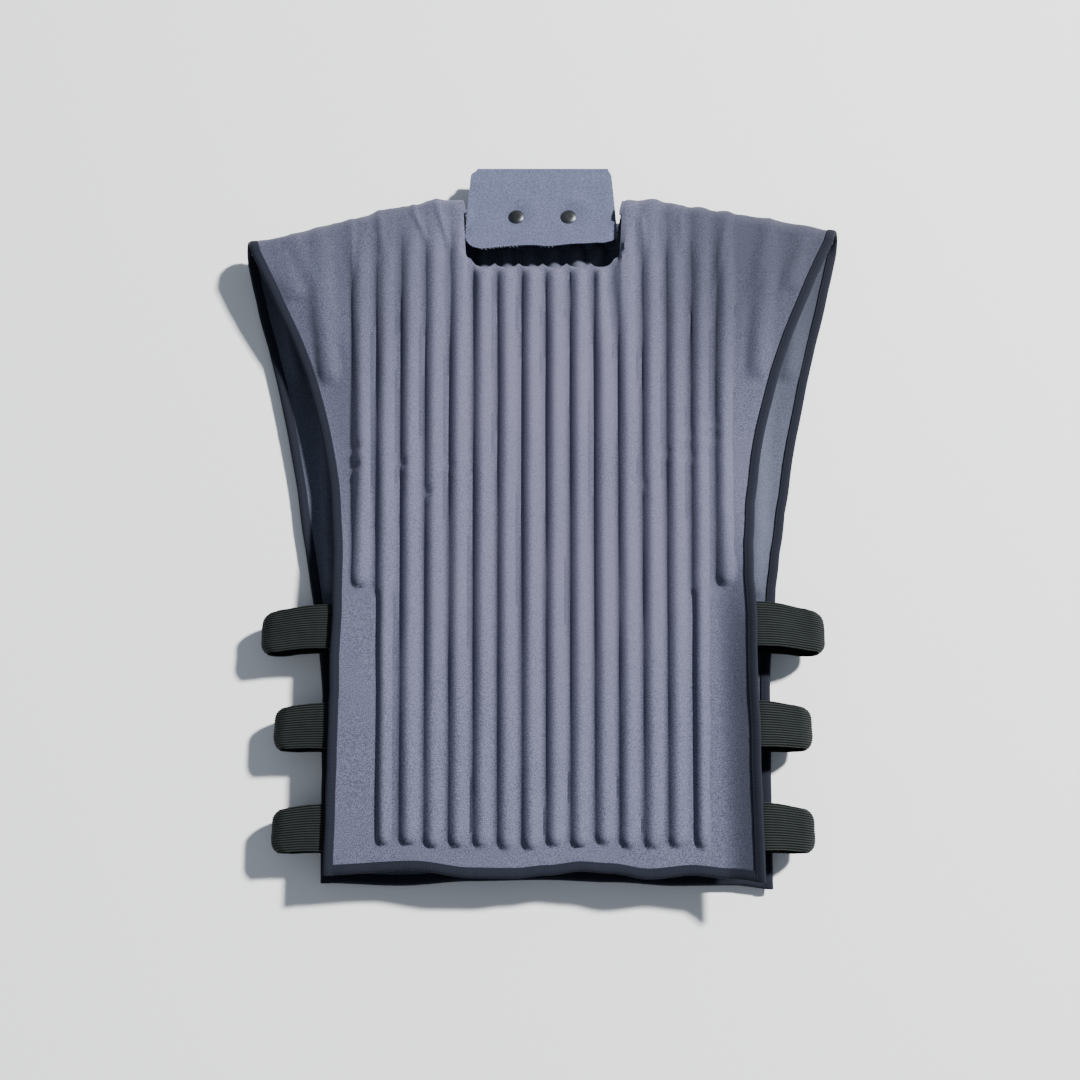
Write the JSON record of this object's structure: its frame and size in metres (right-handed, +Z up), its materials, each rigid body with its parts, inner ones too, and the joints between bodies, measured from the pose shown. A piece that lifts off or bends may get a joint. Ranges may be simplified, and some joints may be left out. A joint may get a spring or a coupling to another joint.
{
  "type": "back protector",
  "caption": "Slip-over padded body protector with channelled front and rear panels, elastic side straps and a snap-down collar.",
  "frame": {"origin": "middle of the whole part's footprint, on the floor it lies on", "axes": "+X across the body to the viewer's right when the neck points away, +Y from the hem to the neck, +Z up from the floor"},
  "size_m": [0.5456, 0.664, 0.0455],
  "materials": {
    "outer_cloth": "matte",
    "lining_cloth": "matte",
    "padding_tube": "matte",
    "binding_tape": "matte",
    "elastic": "matte",
    "snap_cap": "satin",
    "snap_metal": "satin"
  },
  "bodies": {
    "rear_panel": {"rear_outer_ply": "outer_cloth", "rear_inner_ply": "lining_cloth", "rear_tube_core_01": "padding_tube", "rear_tube_core_02": "padding_tube", "rear_tube_core_03": "padding_tube", "rear_tube_core_04": "padding_tube", "rear_tube_core_05": "padding_tube", "rear_tube_core_06": "padding_tube", "rear_tube_core_07": "padding_tube", "rear_tube_core_08": "padding_tube", "rear_tube_core_09": "padding_tube", "rear_tube_core_10": "padding_tube", "rear_tube_core_11": "padding_tube", "rear_tube_core_12": "padding_tube", "rear_tube_core_13": "padding_tube", "rear_tube_core_14": "padding_tube", "rear_tube_core_15": "padding_tube", "rear_tube_core_16": "padding_tube", "rear_wing_cores": "padding_tube", "rear_binding_left": "binding_tape", "rear_binding_right": "binding_tape", "hem_binding_rear": "binding_tape", "shoulder_fold_left": "outer_cloth", "shoulder_fold_right": "outer_cloth", "shoulder_binding_left": "binding_tape", "shoulder_binding_right": "binding_tape", "side_strap_left_upper": "elastic", "side_strap_left_middle": "elastic", "side_strap_left_lower": "elastic", "side_strap_right_upper": "elastic", "side_strap_right_middle": "elastic", "side_strap_right_lower": "elastic", "collar_stand": "outer_cloth", "snap_studs": "snap_metal", "snap_posts": "snap_metal"},
    "front_panel": {"front_outer_ply": "outer_cloth", "front_inner_ply": "lining_cloth", "front_tube_core_01": "padding_tube", "front_tube_core_02": "padding_tube", "front_tube_core_03": "padding_tube", "front_tube_core_04": "padding_tube", "front_tube_core_05": "padding_tube", "front_tube_core_06": "padding_tube", "front_tube_core_07": "padding_tube", "front_tube_core_08": "padding_tube", "front_tube_core_09": "padding_tube", "front_tube_core_10": "padding_tube", "front_tube_core_11": "padding_tube", "front_tube_core_12": "padding_tube", "front_tube_core_13": "padding_tube", "front_tube_core_14": "padding_tube", "front_tube_core_15": "padding_tube", "front_tube_core_16": "padding_tube", "front_wing_cores": "padding_tube", "front_binding_left": "binding_tape", "front_binding_right": "binding_tape", "hem_binding_front": "binding_tape"},
    "collar_flap_body": {"collar_flap": "outer_cloth", "snap_caps": "snap_cap", "snap_sockets": "snap_metal"}
  },
  "joints": [
    {"name": "front_panel_lift", "type": "hinge", "parent": "rear_panel", "child": "front_panel", "pos_m": [0, 0.272, 0.0226], "axis": [-1, 0, 0], "range_deg": [0, 22], "deforming": ["shoulder_fold_left", "shoulder_fold_right", "shoulder_binding_left", "shoulder_binding_right", "side_strap_left_upper", "side_strap_left_middle", "side_strap_left_lower", "side_strap_right_upper", "side_strap_right_middle", "side_strap_right_lower"]},
    {"name": "collar_flap_fold", "type": "hinge", "parent": "rear_panel", "child": "collar_flap_body", "pos_m": [0, 0.32963, 0.02288], "axis": [-1, 0, 0], "range_deg": [0, 150]}
  ]
}
